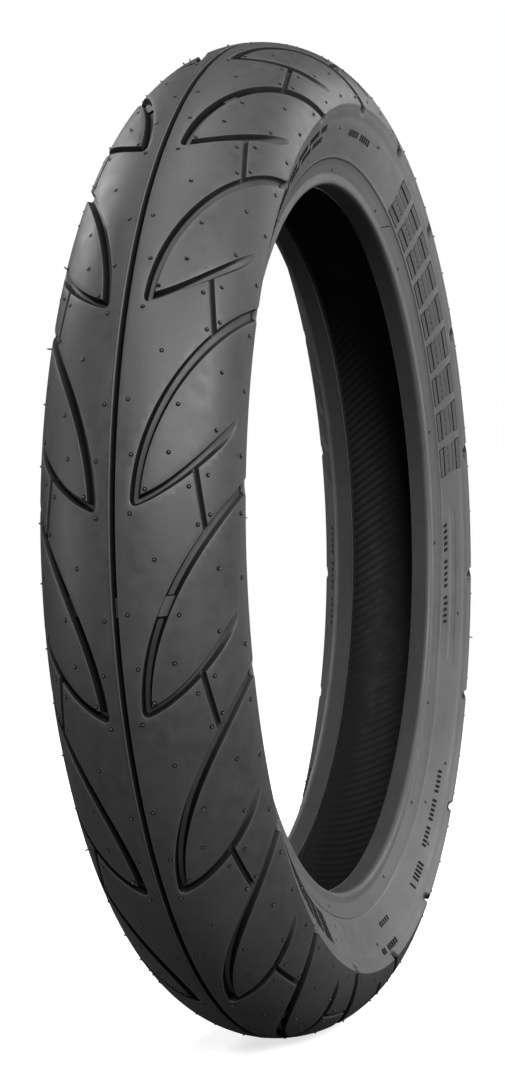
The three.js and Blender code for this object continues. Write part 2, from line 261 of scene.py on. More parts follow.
def section(node):
    """The corners of a CAD ring's section in order round it, as (radius, along)."""
    mesh = frame["nodes"][node].data
    links = {}
    for polygon in mesh.polygons:
        corners = [mesh.vertices[i].co / MM for i in polygon.vertices]
        flat = [(round(c.z, 3), round(c.y, 3)) for c in corners if abs(c.x) < 0.01 and c.z > 0]
        for a in flat:
            links.setdefault(a, set()).update(b for b in flat if b != a)
    start = max(links)
    loop = [start]
    here = next(iter(sorted(links[start])))
    while here != start:
        loop.append(here)
        ahead = sorted(links[here] - {loop[-2]})
        here = ahead[0]
    return loop


def chains(loop, start, end):
    """The two ways round a loop of corners from `start` to `end`."""
    turn = loop.index(start)
    loop = loop[turn:] + loop[:turn]
    split = loop.index(end)
    return loop[: split + 1], [loop[0]] + loop[split:][::-1]


def inner_chain(loop, start, end):
    """The way from `start` to `end` that runs nearer to the axle and to the centre plane."""
    return min(chains(loop, start, end), key=lambda way: sum(r + abs(y) for r, y in way) / len(way))


def tread_underside():
    """The corners of the tread cap's underside, from right to left. Everything else is nearer the air."""
    mesh = frame["nodes"]["tread_cap"].data
    corners = set()
    for vertex in mesh.vertices:
        x, y, z = vertex.co / MM
        turn = math.atan2(y / TREAD_WIDE, (z - TREAD_CENTRE) / TREAD_TALL)
        surface = (TREAD_CENTRE + TREAD_TALL * math.cos(turn), TREAD_WIDE * math.sin(turn))
        if abs(x) < 0.01 and z > 0 and math.dist((z, y), surface) > GROOVE_DEPTH + 0.2:
            corners.add((round(z, 3), round(y, 3)))
    return sorted(corners, key=lambda corner: corner[1])


def smooth_ring(name, node, slot, material, segments=256):
    """A round copy of a CAD ring, which has flat facets."""
    points, faces, _ = spun(section(node), segments)
    return new_piece(name, points, faces, slot, material, node)


def strip_solid(rows):
    """A closed solid along a path. `rows` holds, for each place on the path, the same number of points
    round the section; the two ends are closed."""
    rows = np.asarray(rows)
    count, around = rows.shape[:2]
    faces = grid_faces(count, around, close_columns=True)
    faces.append(tuple(range(around))[::-1])
    faces.append(tuple((count - 1) * around + i for i in range(around)))
    return rows.reshape(-1, 3), faces


def merged(solids):
    """Several (points, faces) as one."""
    points, faces, start = [], [], 0
    for solid_points, solid_faces in solids:
        points.append(solid_points)
        faces.extend(tuple(i + start for i in face) for face in solid_faces)
        start += len(solid_points)
    return np.concatenate(points), faces


# ---- Tread pattern, drawn flat ----
# Everything here is (distance from the crown, distance round the tyre) in millimetres, for one leaf of
# the right half whose tip is at distance 0 round the tyre.


def bezier(controls, steps):
    """Points along a Bezier curve of any degree."""
    t = np.linspace(0, 1, steps)[:, None]
    degree = len(controls) - 1
    return sum(
        math.comb(degree, i) * (1 - t) ** (degree - i) * t**i * np.array(point, float)
        for i, point in enumerate(controls)
    )


def smooth_step(value):
    value = np.clip(value, 0, 1)
    return value * value * (3 - 2 * value)


class Groove:
    """A groove along a path, with a width and a depth at each point of the path."""

    def __init__(self, path, width, depth):
        self.path = path
        self.half_width = width / 2
        self.depth = depth

    def moved(self, mirror, along_tyre):
        path = self.path * [mirror, 1] + [0, along_tyre]
        return Groove(path, self.half_width * 2, self.depth)

    def measure(self, points):
        """For each point, its distance outside the groove's edge, and the groove's depth beside it."""
        start, end = self.path[:-1], self.path[1:]
        run = end - start
        offset = points[:, None] - start
        share = np.clip((offset * run).sum(-1) / (run * run).sum(-1), 0, 1)
        gap = np.linalg.norm(offset - share[..., None] * run, axis=-1)
        half_width = self.half_width[:-1] + share * np.diff(self.half_width)
        depth = self.depth[:-1] + share * np.diff(self.depth)
        nearest = (gap - half_width).argmin(axis=1)
        rows = np.arange(len(points))
        return (gap - half_width)[rows, nearest], depth[rows, nearest]

    def outline(self, distance):
        """The closed line at a distance outside the groove's edge, with round ends."""
        direction = np.gradient(self.path, axis=0)
        direction /= np.linalg.norm(direction, axis=1, keepdims=True)
        side = np.stack([direction[:, 1], -direction[:, 0]], axis=-1)
        reach = np.maximum(self.half_width + distance, 0.02)[:, None]
        end_angles = np.linspace(0, math.pi, 7)[1:-1, None]
        turn_back = np.cos(end_angles) * side[-1] + np.sin(end_angles) * direction[-1]
        turn_start = -np.cos(end_angles) * side[0] - np.sin(end_angles) * direction[0]
        return np.concatenate(
            [
                self.path + side * reach,
                self.path[-1] + turn_back * reach[-1],
                (self.path - side * reach)[::-1],
                self.path[0] + turn_start * reach[0],
            ]
        )


def long_arm():
    path = bezier([(11.5, 2.5), (13.2, 47), (45.2, 94.1), (TREAD_HALF + 3, 120.6)], 56)
    t = np.linspace(0, 1, len(path))
    depth = GROOVE_DEPTH + (ARM_END_DEPTH - GROOVE_DEPTH) * smooth_step((t - 0.3) / 0.65)
    return Groove(path, np.interp(t, [0, 0.45, 1], [5.2, 5.6, 6.6]), depth)


def short_arm():
    """Its outer end is a wedge: the crown side runs straight to a point and the other side curves in."""
    path = bezier([(11.5, 1.2), (34, 8.7), (66.5, 47.5)], 36)
    t = np.linspace(0, 1, len(path))
    full_width = np.interp(t, [0, 0.3, 1], [4.6, 4.2, 6.2])
    width = full_width * np.sqrt(1 - np.clip((t - 0.8) / 0.2, 0, 1) ** 2 * 0.995)
    direction = np.gradient(path, axis=0)
    direction /= np.linalg.norm(direction, axis=1, keepdims=True)
    crown_side = np.stack([-direction[:, 1], direction[:, 0]], axis=-1)
    path = path + crown_side * ((full_width - width) / 2)[:, None]
    depth = GROOVE_DEPTH * (1 - 0.3 * t) * (1 - smooth_step((t - 0.72) / 0.3))
    return Groove(path, width, depth)


def link_groove():
    path = bezier([(41.4, 18.6), (47.1, -13.6)], 12)
    return Groove(path, np.full(len(path), 3.3), np.full(len(path), LINK_DEPTH))


def leaf():
    return [long_arm(), short_arm(), link_groove()]


def pattern_start(side):
    return PATTERN_START + (LEFT_STAGGER if side == LEFT else 0)


def tile_grooves():
    """Every leaf groove that reaches into one pitch of the pattern."""
    grooves = []
    for side in (RIGHT, LEFT):
        for groove in leaf():
            for pitch in range(-2, 2):
                moved = groove.moved(-side, pattern_start(side) + pitch * PITCH_LENGTH)
                low, high = moved.path[:, 1].min(), moved.path[:, 1].max()
                if high > -8 and low < PITCH_LENGTH + 8:
                    grooves.append(moved)
    return grooves


def centre_groove_measure(points):
    return np.abs(points[:, 0]) - CENTRE_GROOVE_WIDTH / 2, np.full(len(points), GROOVE_DEPTH)


def tread_depth(points, grooves):
    """How far below the full tread each point is, its distance outside the nearest groove's edge, and how
    much painted shade it gets for standing in the shade of that groove's side."""
    measures = [groove.measure(points) for groove in grooves] + [centre_groove_measure(points)]
    outside, full_depth = np.array(measures).transpose(1, 0, 2)
    distances, shares = np.array(GROOVE_SIDE[::-1]).T
    depth = (full_depth * np.interp(outside, distances, shares)).max(axis=0)
    nearest = outside.argmin(axis=0)
    rows = np.arange(len(points))
    outside, full_depth = outside[nearest, rows], full_depth[nearest, rows]
    distances, shades = np.array(GROOVE_SHADE).T
    return depth, outside, np.interp(outside, distances, shades) * full_depth / GROOVE_DEPTH


def clipped(line, low, high):
    """The pieces of a closed line inside a rectangle, as pairs of points."""
    pairs = []
    for start, end in zip(line, np.roll(line, -1, axis=0)):
        run = end - start
        enter, leave = 0.0, 1.0
        for axis in (0, 1):
            if abs(run[axis]) < 1e-9:
                if not low[axis] <= start[axis] <= high[axis]:
                    leave = -1.0
                continue
            first = (low[axis] - start[axis]) / run[axis]
            second = (high[axis] - start[axis]) / run[axis]
            enter = max(enter, min(first, second))
            leave = min(leave, max(first, second))
        if leave - enter > 1e-6:
            pairs.append((start + run * enter, start + run * leave))
    return pairs


def tile_mesh(grooves):
    """One pitch of the tread surface as flat points and triangles that follow the groove edges."""
    low = np.array([-TREAD_HALF, 0.0])
    high = np.array([TREAD_HALF, PITCH_LENGTH])
    pairs = []
    for distance, _ in GROOVE_SIDE:
        for groove in grooves:
            pairs.extend(clipped(groove.outline(distance), low, high))
        reach = CENTRE_GROOVE_WIDTH / 2 + distance
        if reach > 0:
            rows = np.linspace(0, PITCH_LENGTH, 30)
            for across in (-reach, reach):
                line = np.stack([np.full(len(rows), across), rows], axis=-1)
                pairs.extend(zip(line[:-1], line[1:]))

    across = np.linspace(-TREAD_HALF, TREAD_HALF, 47)
    rows = np.linspace(0, PITCH_LENGTH, 28)
    grid = np.stack(np.meshgrid(across, rows), axis=-1).reshape(-1, 2)
    _, outside, _ = tread_depth(grid, grooves)
    on_border = (grid[:, 1] < 1e-6) | (grid[:, 1] > PITCH_LENGTH - 1e-6)
    corners = [low, (high[0], low[1]), high, (low[0], high[1])]
    free = grid[(outside > 0.9) | (on_border & (outside > 0.6))]

    points = np.concatenate([np.reshape(pairs, (-1, 2)), corners, free])
    edges = [(2 * i, 2 * i + 1) for i in range(len(pairs))]
    for axis in (0, 1):
        for border in (low[axis], high[axis]):
            on_border = np.flatnonzero(np.abs(points[:, axis] - border) < 1e-6)
            points[on_border, axis] = border
            order = on_border[np.argsort(points[on_border, 1 - axis])]
            edges.extend(zip(order[:-1].tolist(), order[1:].tolist()))
    flat, _, triangles, *_ = delaunay_2d_cdt([Vector(point) for point in points], edges, [], 0, 1e-4)
    return np.array([tuple(point) for point in flat]), np.array(triangles)


def zipped(first, second, places):
    """Triangles between two rows of points, taken in the order of their places round the tyre."""
    faces = []
    i, j = 0, 0
    while i < len(first) - 1 or j < len(second) - 1:
        second_is_next = i == len(first) - 1 or (
            j < len(second) - 1 and places[second[j + 1]] < places[first[i + 1]]
        )
        if second_is_next:
            faces.append((first[i], second[j], second[j + 1]))
            j += 1
        else:
            faces.append((first[i], second[j], first[i + 1]))
            i += 1
    return faces


def tread_cap(material):
    """One pitch of the tread with its underside, repeated round the tyre."""
    grooves = tile_grooves()
    flat, triangles = tile_mesh(grooves)
    depth, outside, shade = tread_depth(flat, grooves)
    points = [tread_points(flat, -depth)]
    places = list(flat[:, 1])
    faces = [tuple(face) for face in triangles]

    columns = np.linspace(0, PITCH_LENGTH, 17)
    rows = []
    for radius, along in tread_underside():
        rows.append([len(places) + i for i in range(len(columns))])
        places.extend(columns)
        angle = columns / TYRE_RADIUS
        points.append(wheel_points(np.full(len(columns), radius), np.full(len(columns), along), angle))
    for row, next_row in zip(rows, rows[1:]):
        faces.extend(zipped(next_row, row, places))
    for edge, row in ((TREAD_HALF, rows[0]), (-TREAD_HALF, rows[-1])):
        border = sorted(np.flatnonzero(np.abs(flat[:, 0] - edge) < 1e-4), key=lambda i: flat[i, 1])
        faces.extend(zipped([int(i) for i in border], row, places))

    points = np.concatenate(points)
    # Painted highlight along the groove lips and painted shade on the groove walls; the underside gets neither.
    distances, strengths = np.array(GROOVE_LIP_HIGHLIGHT).T
    underside = np.zeros(len(points) - len(flat))
    pale = np.concatenate([np.interp(outside, distances, strengths), underside])
    dark = np.concatenate([shade, underside])
    pitches = [(turned(points, pitch * FULL_TURN / PITCHES), faces) for pitch in range(PITCHES)]
    all_points, all_faces = merged(pitches)
    return new_piece(
        "tread_rubber", all_points, all_faces, "tread_rubber", material, "tread_cap",
        smooth_below=40, welded=True, pale=np.tile(pale, PITCHES), dark=np.tile(dark, PITCHES),
    )  # fmt: skip


def turned(points, angle):
    """Points turned round the axle, from the -X side towards +Z."""
    cos, sin = math.cos(angle), math.sin(angle)
    x, y, z = points.T
    return np.stack([x * cos + z * sin, y, z * cos - x * sin], axis=-1)


def flat_block(rows, bottom, top):
    """A low block on the tread between two levels. Each row is (left, right, place round the tyre)."""
    sections = []
    for left, right, place in rows:
        flat = np.array([(left, place), (left, place), (right, place), (right, place)])
        sections.append(tread_points(flat, np.array([bottom, top, top, bottom])))
    return strip_solid(sections)


def wear_bar_rows(groove, places):
    """The stretch of a groove between two straight cuts across the tyre, and the groove's depth there."""
    lateral = np.interp(places, groove.path[:, 1], groove.path[:, 0])
    slope = np.gradient(lateral, places)
    half_width = np.interp(places, groove.path[:, 1], groove.half_width) * np.hypot(1, slope)
    depth = float(np.interp(places.mean(), groove.path[:, 1], groove.depth))
    rows = [(s - w, s + w, c) for s, w, c in zip(lateral, half_width, places)]
    return rows, depth


def wear_bars(material):
    """Raised stretches of groove floor, in the centre groove and in the long arms."""
    bars = []
    half = CENTRE_GROOVE_WIDTH / 2
    # Painted shade as a shadow line at each end of a bar, and a painted highlight on its top.
    shares, darks, pales = np.array(WEAR_BAR_CUTS).T
    for i in range(WEAR_BARS):
        start = WEAR_BAR_START + i * 360 / WEAR_BARS * ONE_DEGREE
        places = start + WEAR_BAR_LENGTH * shares
        top = WEAR_BAR_HEIGHT - GROOVE_DEPTH
        bars.append(flat_block([(-half, half, place) for place in places], top - BAR_FOOT, top))
        for side in (RIGHT, LEFT):
            for pitch in range(PITCHES + 2):
                arm = long_arm().moved(-side, pattern_start(side) + (pitch - 2) * PITCH_LENGTH)
                low, high = arm.path[:, 1].min(), arm.path[:, 1].max()
                if low + 8 < start and start + WEAR_BAR_LENGTH < high - 15:
                    rows, depth = wear_bar_rows(arm, places)
                    top = WEAR_BAR_HEIGHT - depth
                    bars.append(flat_block(rows, top - BAR_FOOT, top))
    return new_piece(
        "tread_wear_bars", *merged(bars), "tread_rubber", material,
        dark=np.tile(np.repeat(darks, 4), len(bars)), pale=np.tile(np.repeat(pales, 4), len(bars)),
    )  # fmt: skip


def parting_flash(material):
    """The thin uneven ridge that the joint of the mould halves leaves beside the centre groove."""
    chance = random.Random(4)
    count = 1400
    place = FULL_TURN * TYRE_RADIUS / count
    sections = []
    for i in range(count):
        spike = 0.55 if chance.random() < 0.06 else 0.0
        height = 0.07 + 0.1 * chance.random() + spike * chance.random()
        sway = chance.uniform(-0.08, 0.08)
        flat = np.array([(-2.75, i * place), (-2.45 + sway, i * place), (-2.2, i * place)])
        sections.append(tread_points(flat, np.array([-0.1, height, -0.1])))
    points = np.concatenate(sections)
    faces = grid_faces(count, 3, close_rows=True, close_columns=True)
    # Painted shade over the whole flash.
    shade = np.full(len(points), 0.6)
    return new_piece("mould_parting_flash", points, faces, "tread_rubber", material, dark=shade)


# ---- Vent stubs ----

# Places of the vents of one leaf: distance from the crown in millimetres, and degrees from the tip.
LEAF_VENTS = (
    (9.3, 4.5), (6.2, 9.8), (8.8, -0.8), (16.0, 1.4), (27.3, 5.0), (31.5, 9.6), (52.4, 7.4), (20.8, 14.7),
    (53.6, 13.6), (69.0, 12.5), (69.0, 5.5), (38.0, 1.7), (47.7, 3.0), (42.8, 17.9), (49.6, -1.0), (69.0, -0.8),
)  # fmt: skip
VENT_RADIUS = 0.5
VENT_SIDES = 9
LONG_VENT_SHARE = 0.1

# Painted shade and painted highlight on a stub at each row of its points, from the foot of its boss to its tip:
# shade round the foot of its thread, highlight near its tip.
VENT_SHADE = (0.0, 0.3, 0.7, 1.0, 0.9, 0.3, 0.0, 0.0)
VENT_HIGHLIGHT = (0.0, 0.2, 0.0, 0.0, 0.0, 0.0, 0.6, 1.0)


def vent_stub(chance, length):
    """A trimmed rubber thread on its low round boss, standing on +Z, as rows of (radius, height)."""
    boss = ((1.35, -0.25), (1.3, 0.06), (1.1, 0.12), (0.8, 0.06), (VENT_RADIUS * 1.1, 0.08))
    thread = ((VENT_RADIUS, 0.25), (VENT_RADIUS * 0.85, length * 0.85), (VENT_RADIUS * 0.5, length))
    lean = chance.uniform(0, FULL_TURN)
    reach = 0.35 * max(0.0, length - 0.5)
    angles = np.arange(VENT_SIDES) * FULL_TURN / VENT_SIDES
    rows = []
    for radius, height in boss + thread:
        shift = reach * max(0.0, height / length) ** 2
        x = radius * np.cos(angles) + shift * math.cos(lean)
        y = radius * np.sin(angles) + shift * math.sin(lean)
        rows.append(np.stack([x, y, np.full(VENT_SIDES, height)], axis=-1))
    return strip_solid(rows)


def stub_looks(stubs):
    """The painted shade and painted highlight of every point of some vent stubs."""
    looks = {"dark": VENT_SHADE, "pale": VENT_HIGHLIGHT}
    return {look: np.tile(np.repeat(values, VENT_SIDES), len(stubs)) for look, values in looks.items()}


def stood_at(solid, origin, normal):
    """A solid that stands on +Z, moved to stand on `origin` along `normal`."""
    points, faces = solid
    turn = np.array(Vector((0, 0, 1)).rotation_difference(Vector(normal)).to_matrix())
    return points @ turn.T + origin, faces


def stub_length(chance):
    if chance.random() < LONG_VENT_SHARE:
        return chance.uniform(1.3, 2.8)
    return chance.uniform(0.5, 1.1)


def tread_vents(material):
    chance = random.Random(17)
    stubs = []
    for side in (RIGHT, LEFT):
        for pitch in range(PITCHES):
            for lateral, degrees in LEAF_VENTS:
                place = pattern_start(side) + pitch * PITCH_LENGTH + degrees * ONE_DEGREE
                lateral_now = lateral + chance.uniform(-0.5, 0.5)
                flat = np.array([(-side * lateral_now, place + chance.uniform(-0.8, 0.8))])
                origin = tread_points(flat)[0]
                normal = tread_points(flat, 1.0)[0] - origin
                stubs.append(stood_at(vent_stub(chance, stub_length(chance)), origin, normal))
    return new_piece("tread_vent_stubs", *merged(stubs), "tread_rubber", material, **stub_looks(stubs))


# ---- Sidewalls ----
# A place on a sidewall is (distance down from the shoulder in millimetres, angle).


def side_curve():
    """The outer face of a sidewall from the shoulder to the bead's side face, and the length along it."""
    face = [r for r, y in section("rim_strip_left") if abs(y - BEAD_FACE) < 0.01]
    line = bezier(
        [
            (SHOULDER_RADIUS, HALF_WIDTH),
            (SHOULDER_RADIUS - 7.4, HALF_WIDTH - 2.2),
            (max(face), BEAD_FACE),
        ],
        200,
    )
    steps = np.linalg.norm(np.diff(line, axis=0), axis=1)
    return line, np.concatenate([[0], np.cumsum(steps)])


SIDE_LINE, SIDE_LENGTHS = side_curve()
SIDE_HEIGHT = SIDE_LENGTHS[-1]
RECESS = (18, 26, math.radians(173), math.radians(200))
NOTCH_LENGTH = 7.0
# How much painted shade the notches get at their deepest.
NOTCH_SHADE = 0.85
SIDEWALL_SEGMENTS = PITCHES * 56


def side_profile(down):
    radius = np.interp(down, SIDE_LENGTHS, SIDE_LINE[:, 0])
    along = np.interp(down, SIDE_LENGTHS, SIDE_LINE[:, 1])
    return radius, along


def side_points(side, down, angle, height):
    """Points on a sidewall, raised by `height` from its smooth face."""
    radius, along = side_profile(down)
    ahead_radius, ahead_along = side_profile(down + 0.5)
    behind_radius, behind_along = side_profile(down - 0.5)
    normal = np.stack([ahead_along - behind_along, behind_radius - ahead_radius], axis=-1)
    normal /= np.linalg.norm(normal, axis=-1, keepdims=True)
    radius = radius + normal[..., 0] * height
    along = along + normal[..., 1] * height
    return wheel_points(radius, side * along, angle)


def ridge(place, centre, width, height):
    return height * np.exp(-(((place - centre) / width) ** 2))


def side_relief(down, angle):
    """The moulded shapes that run round a sidewall: the shoulder lip, the rim line, valleys and recess."""
    height = ridge(down, 0.9, 0.55, 0.25)
    height += ridge(down, 8.5, 2.6, -0.2)
    height += ridge(down, 33.6, 0.5, 0.22)
    height += ridge(down, 38.0, 3.0, -0.15)
    top, bottom, start, end = RECESS
    across = smooth_step((down - top) / 2.0) * smooth_step((bottom - down) / 2.0)
    round_tyre = smooth_step((angle - start) / 0.02) * smooth_step((end - angle) / 0.02)
    return height - 0.2 * across * round_tyre


def notch_relief(side, down, angle):
    """The dips at the top of a sidewall where the long arms run out over the shoulder."""
    arm = long_arm()
    middle = np.interp(TREAD_HALF, arm.path[:, 0], arm.path[:, 1])
    across, ahead = arm.path[-1] - arm.path[-2]
    slope = ahead / across
    along = angle * TYRE_RADIUS - pattern_start(side) - middle - down * slope
    off_middle = np.abs((along + PITCH_LENGTH / 2) % PITCH_LENGTH - PITCH_LENGTH / 2)
    outside = (off_middle / math.hypot(1, slope)) - arm.half_width[-1]
    distances, shares = np.array(GROOVE_SIDE[::-1]).T
    fade = np.where(down > 0, 1 - smooth_step(down / NOTCH_LENGTH), 0)
    return -ARM_END_DEPTH * np.interp(outside, distances, shares) * fade


def face_places(start, end, step=0.75):
    return np.linspace(start, end, max(2, round((end - start) / step) + 1))


def sidewall(name, side, material):
    loop = section("sidewall_" + name)
    top = max(loop)
    outer_face = [c for c in loop if abs(abs(c[1]) - side_profile(down_at(c[0]))[1]) < 0.06]
    bottom = min(outer_face)
    inner = inner_chain(loop, bottom, top)[1:-1]
    down = face_places(0.03, down_at(bottom[0]))
    radius, along = side_profile(down)
    outline = [(r, side * y) for r, y in zip(radius, along)] + list(inner)
    places = np.concatenate([down, np.full(len(inner), HIDDEN)])

    def relief(down, angle):
        return side_relief(down, angle) + notch_relief(side, down, angle)

    points, faces, places = spun(outline, SIDEWALL_SEGMENTS, relief, places)
    angles = np.repeat(np.arange(SIDEWALL_SEGMENTS) * FULL_TURN / SIDEWALL_SEGMENTS, len(outline))
    # Painted shade in the notches, strongest where they are deepest.
    shade = notch_relief(side, places, angles) / -ARM_END_DEPTH * NOTCH_SHADE
    return new_piece(
        "sidewall_rubber_" + name, points, faces, "sidewall_rubber", material, "sidewall_" + name, dark=shade
    )


def down_at(radius):
    """The distance down from the shoulder of the place on the sidewall with this radius."""
    return float(np.interp(-radius, -SIDE_LINE[:, 0], SIDE_LENGTHS))


# ---- Moulded marks on the sidewalls ----
# Where the real tyre carries words and numbers, this one carries plain hatching of the same extent.

# Painted shade: the grounds, ticks, vent line and band ribs are darkened by the amounts given here and in the
# tables.
MARK_HEIGHT = 0.22
MARK_DRAFT = 0.1
GROUND_HEIGHT = 0.08
GROUND_SHADE = 1.0
GROUND_BORDER = 0.6
TICK_HEIGHT = 0.3
TICK_SHADE = 0.9

# The thin oblique line near the bead: start, end, top and slant for `slanted`, and its extent down.
VENT_LINE_DOWN = (36.0, 43.6)
VENT_LINE = (math.radians(114), math.radians(114.18), VENT_LINE_DOWN[0], math.radians(-0.3))

# Bands of large striped blocks: start and end in degrees, top and bottom in millimetres down from the
# shoulder, the number of blocks and how much painted shade their ribs get.
BLOCK_BANDS = ((110, 168, 10, 33, 9, 0.2), (293, 340, 11, 29, 10, 0.85))
STRIPES = 5
BLOCK_SHARE = 0.74
STRIPE_GAP = 1.05
BLOCK_SLANT = 5.0

# Rows of small ticks: start and end in degrees, top and bottom in millimetres, and how they lean.
TICK_ROWS = (
    (30, 69, 9.5, 13.5, 0.5), (33, 69, 16, 20, 0.5), (82, 93, 15.5, 19.5, 0.2), (176, 194, 28.5, 32, 0.8),
    (220, 237, 17.5, 21.5, 0.8), (240, 247, 14, 20, 1.2), (261, 269, 6.5, 10.5, 0.4), (260, 266, 21, 24.5, 0.4),
)  # fmt: skip
TICK_PITCH = 4.4
TICK_WIDTH = 2.1
SIDE_VENT_ROWS = ((15.0, 15), (41.5, 14), (27.5, 6))


def side_block(side, corners_at, down, height):
    """A low rib on a sidewall between two distances down, `down`. `corners_at(share, upper, lower)` gives
    the angles of its upper and its lower edge at a share of the way from one end to the other."""
    sections = []
    upper, lower = down
    for share in np.linspace(0, 1, 5):
        edge = np.array([upper, upper + MARK_DRAFT, lower - MARK_DRAFT, lower])
        start_angle, end_angle = corners_at(share, upper, lower)
        angle = np.interp(edge, [upper, lower], [start_angle, end_angle])
        level = np.array([-0.2, height, height, -0.2])
        sections.append(side_points(side, edge, angle, level))
    return strip_solid(sections)


def slanted(start, end, top, slant):
    """Where a block starts and ends, for `side_block`: its ends lean by `slant` radians a millimetre."""

    def corners_at(share, upper, lower):
        angle = start + (end - start) * share
        return angle + slant * (upper - top), angle + slant * (lower - top)

    return corners_at


def striped_block(side, start, end, top, bottom, shade):
    """Ribs that run along the tyre, one above the other, with slanted ends, and the ground between, which gets
    painted shade.
    """
    slant = BLOCK_SLANT / side_profile(top)[0] / (bottom - top)
    corners_at = slanted(start, end, top, slant)
    border = GROUND_BORDER / side_profile(top)[0]
    ground_at = slanted(start - border, end + border, top, slant)
    ground_down = (top - GROUND_BORDER, bottom - STRIPE_GAP + GROUND_BORDER)
    solids = [(side_block(side, ground_at, ground_down, GROUND_HEIGHT), GROUND_SHADE)]
    pitch = (bottom - top) / STRIPES
    for i in range(STRIPES):
        upper = top + i * pitch
        lower = upper + pitch - STRIPE_GAP
        solids.append((side_block(side, corners_at, (upper, lower), MARK_HEIGHT), shade))
    return solids


def tick(side, centre, top, bottom, lean):
    """A short bar that runs down the sidewall."""
    radius = side_profile((top + bottom) / 2)[0]
    half = TICK_WIDTH / 2 / radius
    slant = 2 * lean / radius / (bottom - top)
    corners_at = slanted(centre - half, centre + half, (top + bottom) / 2, slant)
    return side_block(side, corners_at, (top, bottom), TICK_HEIGHT), TICK_SHADE


def side_marks(name, side, material):
    # The vent line gets full painted shade.
    solids = [(side_block(side, slanted(*VENT_LINE), VENT_LINE_DOWN, GROUND_HEIGHT * 2), 1.0)]
    for start, end, top, bottom, count, shade in BLOCK_BANDS:
        first, last = math.radians(start), math.radians(end)
        pitch = (last - first) / count
        for i in range(count):
            begin = first + i * pitch
            solids += striped_block(side, begin, begin + pitch * BLOCK_SHARE, top, bottom, shade)
    for start, end, top, bottom, lean in TICK_ROWS:
        radius = side_profile(top)[0]
        count = round(math.radians(end - start) * radius / TICK_PITCH)
        for i in range(count):
            if i % 6 != 5:
                centre = math.radians(start + (end - start) * i / count)
                solids.append(tick(side, centre, top, bottom, lean))
    shades = np.concatenate([np.full(len(points), shade) for (points, _), shade in solids])
    marks = merged([solid for solid, _ in solids])
    return new_piece("sidewall_marks_" + name, *marks, "sidewall_rubber", material, dark=shades)


def side_vents(name, side, material):
    """Trimmed vent threads, in rows round a sidewall."""
    chance = random.Random(31 + side)
    stubs = []
    for down, count in SIDE_VENT_ROWS:
        for i in range(count):
            angle = np.array([(i + chance.uniform(-0.25, 0.25)) * FULL_TURN / count])
            place = np.array([down + chance.uniform(-1.0, 1.0)])
            origin = side_points(side, place, angle, 0.0)[0]
            normal = side_points(side, place, angle, 1.0)[0] - origin
            stubs.append(stood_at(vent_stub(chance, stub_length(chance)), origin, normal))
    looks = stub_looks(stubs)
    return new_piece("sidewall_vent_stubs_" + name, *merged(stubs), "sidewall_rubber", material, **looks)


# ---- Rim strips and beads ----

HEEL_RADIUS = 2.2
# Painted shade over the bead seat, where little light reaches.
SEAT_SHADE = 0.6
TOE_TEETH = 620
TOE_TOOTH_HEIGHT = 0.4


def rim_strip(name, side, material):
    """The abrasion strip round a bead: side face, rounded heel, seat and toe."""
    loop = section("rim_strip_" + name)
    face = [corner for corner in loop if abs(abs(corner[1]) - BEAD_FACE) < 0.01]
    seat_radius = min(radius for radius, _ in loop)
    toe = min((corner for corner in loop if corner[0] < seat_radius + 0.1), key=lambda c: abs(c[1]))
    top = max(loop)
    inner = inner_chain(loop, toe, top)[1:-1]

    down = face_places(down_at(top[0]), SIDE_HEIGHT)
    radius, along = side_profile(down)
    outline = list(zip(radius, along))
    outline += [(r, BEAD_FACE) for r in np.linspace(max(face)[0], min(face)[0], 6)[1:]]
    for turn in np.linspace(0, math.pi / 2, 7)[1:]:
        centre_radius = seat_radius + HEEL_RADIUS
        outline.append(
            (
                centre_radius - HEEL_RADIUS * math.sin(turn),
                BEAD_FACE - HEEL_RADIUS * (1 - math.cos(turn)),
            )
        )
    heel_end = len(outline) - 1
    seat_start = BEAD_FACE - HEEL_RADIUS
    outline += [(seat_radius, y) for y in np.linspace(seat_start, abs(toe[1]) + 0.2, 12)[1:]]
    outline.append((toe[0], abs(toe[1])))
    steps = np.linalg.norm(np.diff(outline, axis=0), axis=1)
    places = down[0] + np.concatenate([[0], np.cumsum(steps)])
    heel = places[heel_end]
    outline = [(r, side * y) for r, y in outline] + list(inner)
    places = np.concatenate([places, np.full(len(inner), HIDDEN)])
    points, faces, places = spun(outline, 360, side_relief, places)
    # Painted highlight along the heel, and painted shade from the heel over the seat and toe.
    return new_piece(
        "rim_strip_rubber_" + name, points, faces, "rim_rubber", material, "rim_strip_" + name,
        pale=np.interp(places, [heel - 2.5, heel - 1, heel + 0.5], [0, 0.25, 0]),
        dark=np.interp(places, [heel, heel + 2], [0, SEAT_SHADE]),
    )  # fmt: skip


def toe_flash(name, side, material):
    """The toothed rag of rubber round the toe of a bead, where the mould ring let it through."""
    chance = random.Random(53 + side)
    toe = min(section("rim_strip_" + name), key=lambda corner: abs(corner[1]))
    steps = TOE_TEETH * 4
    sections = []
    for i in range(steps):
        angle = i * FULL_TURN / steps
        reach = TOE_TOOTH_HEIGHT * (1, 0.55, 0.1, 0.55)[i % 4] * chance.uniform(0.55, 1.0)
        tip = abs(toe[1]) - 0.15
        corners = np.array([(toe[0] + 0.9, tip + 0.35), (toe[0] - 0.15 - reach, tip), (toe[0] + 0.5, tip - 0.25)])
        sections.append(wheel_points(corners[:, 0], side * corners[:, 1], np.full(3, angle)))
    points = np.concatenate(sections)
    faces = grid_faces(steps, 3, close_rows=True, close_columns=True)
    return new_piece("toe_flash_" + name, points, faces, "rim_rubber", material)


